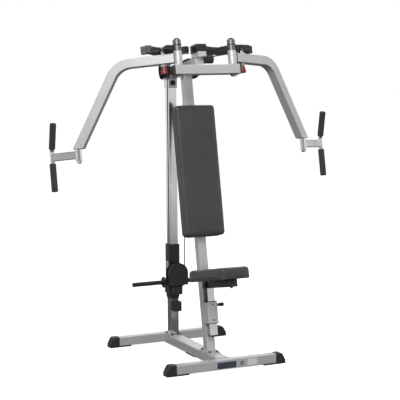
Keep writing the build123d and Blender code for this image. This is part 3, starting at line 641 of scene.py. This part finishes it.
for name, side in SIDES.items():
    swing = radians(REST_SWING[name])
    outward = ACROSS * side * cos(swing) + REAR * sin(swing)
    across = UP.cross(outward)
    pivot = head(side * PIVOT_X, 0, 0)
    arm_weld = bmesh.new()
    # The saddle where the square arm meets the round barrel.
    pts = []
    for p in rectangle(Vector((0, 0, 0)), Vector((1, 0, 0)), Vector((0, 1, 0)), 50, 50, 4):
        y, z = p.x * 1000, p.y * 1000
        inward = max(0.0, BARREL_RADIUS ** 2 - min(abs(y), 22.9) ** 2) ** 0.5
        pts.append(pivot + (outward * (inward + 1.0) + across * y + UP * z) / 1000)
    weld(arm_weld, pts)
    piece(name + "_arm_weld", arm_weld, "silver_paint", name + "_arm")

for name, side in SIDES.items():
    beads = bmesh.new()
    centre = head(side * PIVOT_X, 0, 70.6)
    weld(beads, ring_points(centre, UP, 22.4, hint=ACROSS))
    piece(name + "_cam_weld", beads, "black_paint", name + "_cam")

horn_welds = bmesh.new()
for sx in (-1, 1):
    weld(horn_welds, ring_points(world(sx * 32.6, UPRIGHT_Y, HORN_Z), Vector((sx, 0, 0)), 16.5))
    weld(horn_welds, ring_points(world(sx * 60.4, UPRIGHT_Y, HORN_Z), Vector((sx, 0, 0)), 13.2))
piece("horn_welds", horn_welds, "black_paint", "carriage")

# ---- rubber and plastic details ----
drum = bmesh.new()
for x in (31.0, 51.5, 72.0):
    tube(drum, ring_points(head(x, 78, 7.5), ACROSS, 23.4), 1.1, 8, True)
piece("buffer_ribs", drum, "rubber", "frame")

for end, y, half in (("front", -380.0, 294.0), ("rear", 380.0, 312.0)):
    ribs = bmesh.new()
    for sx in (-1, 1):
        for z in (15.0, 24.0, 33.0, 42.0):
            lean_in = max(0.0, (z - 20) * 16 / 30)
            x = sx * (half + 56 - lean_in - 0.2)
            tube(ribs, [world(x, y - 20, z), world(x, y + 20, z)], 1.0, 8)
    piece(end + "_foot_ribs", ribs, "black_plastic", "frame")

for name, side in SIDES.items():
    # Finger ribs round the range knob.
    knob = bmesh.new()
    centre = cam_point(side, PIN_CIRCLE, 180 - REST_SWING[name], -39.5)
    for i in range(12):
        a = 2 * pi * i / 12
        pts = []
        for k in range(9):
            h = 5 + 26 * k / 8
            r = KNOB_RADIUS + h * tan(KNOB_TAPER) - 0.15
            pts.append(centre + (ACROSS * cos(a) + REAR * sin(a)) * r / 1000 - UP * h / 1000)
        tube(knob, pts, 0.9, 6)
    piece(name + "_knob_ribs", knob, "red_plastic", name + "_range_pin")


# ---- blank labels ----
def label_look(name, colour, border):
    return material(name, colour, border, 0.0, (0.3, 0.45), 30, 700, (0.1, 0.0001), coat=0.3, edge=0)


labels = (
    ("front_label_a", (-3, -405.0, 28), 112, 34, (0.045, 0.062, 0.09), (0.06, 0.08, 0.11)),
    ("front_label_b", (88, -405.0, 30), 21, 24, (0.22, 0.27, 0.22), (0.26, 0.31, 0.26)),
    ("front_label_c", (149, -405.0, 31), 60, 34, (0.95, 0.95, 0.96), (0.93, 0.93, 0.94)),
)
for name, centre, width, height, colour, border in labels:
    bm = bmesh.new()
    plate(bm, world(*centre), ACROSS, VERTICAL, width, height, 0.5, 2.5, 0.2)
    piece(name, bm, label_look(name + "_look", colour, border), "frame")
bm = bmesh.new()
plate(bm, world(-32.0, 304, 466), Vector((0, -1, 0)), VERTICAL, 40, 44, 0.5, 2.5, 0.2)
piece("carriage_label", bm, label_look("carriage_label_look", (0.62, 0.40, 0.24), (0.7, 0.5, 0.34)),
      "carriage")

# ---- floor, light and camera ----
bm = bmesh.new()
span = 30.0
around = ((-span, -span), (span, -span), (span, span), (-span, span))
bm.faces.new([bm.verts.new(Vector((x, y, -0.0005))) for x, y in around])
mesh = bpy.data.meshes.new("floor")
bm.to_mesh(mesh)
bm.free()
floor = bpy.data.objects.new("floor", mesh)
scene.collection.objects.link(floor)
floor_look = material("floor_look", (0.90, 0.90, 0.90), (0.88, 0.88, 0.88), 0.0, (0.6, 0.75), 1.5, 60,
                      (0.03, 0.0002), edge=0)
floor_shader = floor_look.node_tree.nodes["Principled BSDF"]
floor_shader.inputs["Emission Color"].default_value = (1, 1, 1, 1)
floor_shader.inputs["Emission Strength"].default_value = 0.80
floor_shader.inputs["Specular IOR Level"].default_value = 0.0
mesh.materials.append(floor_look)
floor.visible_diffuse = False
floor.visible_glossy = False


def area(name, place, target, size, energy):
    data = bpy.data.lights.new(name, "AREA")
    data.shape = "RECTANGLE"
    data.size, data.size_y = size
    data.energy = energy
    lamp = bpy.data.objects.new(name, data)
    lamp.location = place
    lamp.rotation_euler = (Vector(target) - Vector(place)).to_track_quat("-Z", "Y").to_euler()
    scene.collection.objects.link(lamp)


area("key", (-1.7, -2.9, 3.7), (0, 0, 1.4), (2.2, 1.6), 96)
area("fill", (4.6, -3.0, 2.6), (0, 0, 1.1), (2.4, 2.4), 16)
area("top", (0.2, 0.2, 3.7), (0, 0, 1.0), (2.2, 2.2), 24)
area("back", (1.6, 4.8, 3.0), (0, 0, 1.0), (3.0, 2.0), 40)

sky = bpy.data.worlds.new("studio")
sky.use_nodes = True
tree = sky.node_tree
background = tree.nodes["Background"]
coords = tree.nodes.new("ShaderNodeTexCoord")
split = tree.nodes.new("ShaderNodeSeparateXYZ")
link(tree, coords.outputs["Generated"], split.inputs[0])
ramp = tree.nodes.new("ShaderNodeValToRGB")
# Grey levels of the studio from straight down to straight up.
LEVELS = ((0.0, 0.06), (0.36, 0.13), (0.42, 0.07), (0.44, 0.8), (0.515, 0.9), (0.60, 0.4), (0.75, 0.25),
          (1.0, 0.3))
stops = ramp.color_ramp.elements
stops[0].position, stops[1].position = LEVELS[0][0], LEVELS[-1][0]
for place, level in LEVELS[1:-1]:
    stops.new(place)
for stop, (place, level) in zip(stops, LEVELS):
    stop.color = (level, level, level * 1.02, 1)
link(tree, remap(tree, split.outputs[2], -1, 1, 0, 1), ramp.inputs[0])
path_node = tree.nodes.new("ShaderNodeLightPath")
# Soft dark patches stand for the studio's unlit parts, which bright metal mirrors.
unlit = remap(tree, noise(tree, coords.outputs["Generated"], 2.1, 2), 0.36, 0.5, 0.6, 1)
room = mix(tree, unlit, (0.11, 0.11, 0.115), ramp.outputs[0])
link(tree, mix(tree, path_node.outputs["Is Camera Ray"], room, (1.0, 1.0, 1.0)), background.inputs[0])
background.inputs[1].default_value = 1.0
scene.world = sky

YAW, PITCH, ROLL = radians(-25.17), radians(-6.54), radians(-0.47)
forward = Vector((-sin(YAW) * cos(PITCH), cos(YAW) * cos(PITCH), sin(PITCH)))
right = Vector((cos(YAW), sin(YAW), 0))
over = right.cross(forward)
camera_x = right * cos(ROLL) + over * sin(ROLL)
camera_y = over * cos(ROLL) - right * sin(ROLL)
matrix = Matrix((camera_x, camera_y, -forward)).transposed().to_4x4()
matrix.translation = Vector((-2.96945, -6.39867, 1.67689))
camera_data = bpy.data.cameras.new("camera")
camera = bpy.data.objects.new("camera", camera_data)
scene.collection.objects.link(camera)
camera.matrix_world = matrix
camera_data.sensor_width = 36
camera_data.lens = 36 * 1287.94 / 400
camera_data.clip_end = 60
scene.camera = camera
scene.view_settings.view_transform = "Standard"

bpy.context.view_layer.update()
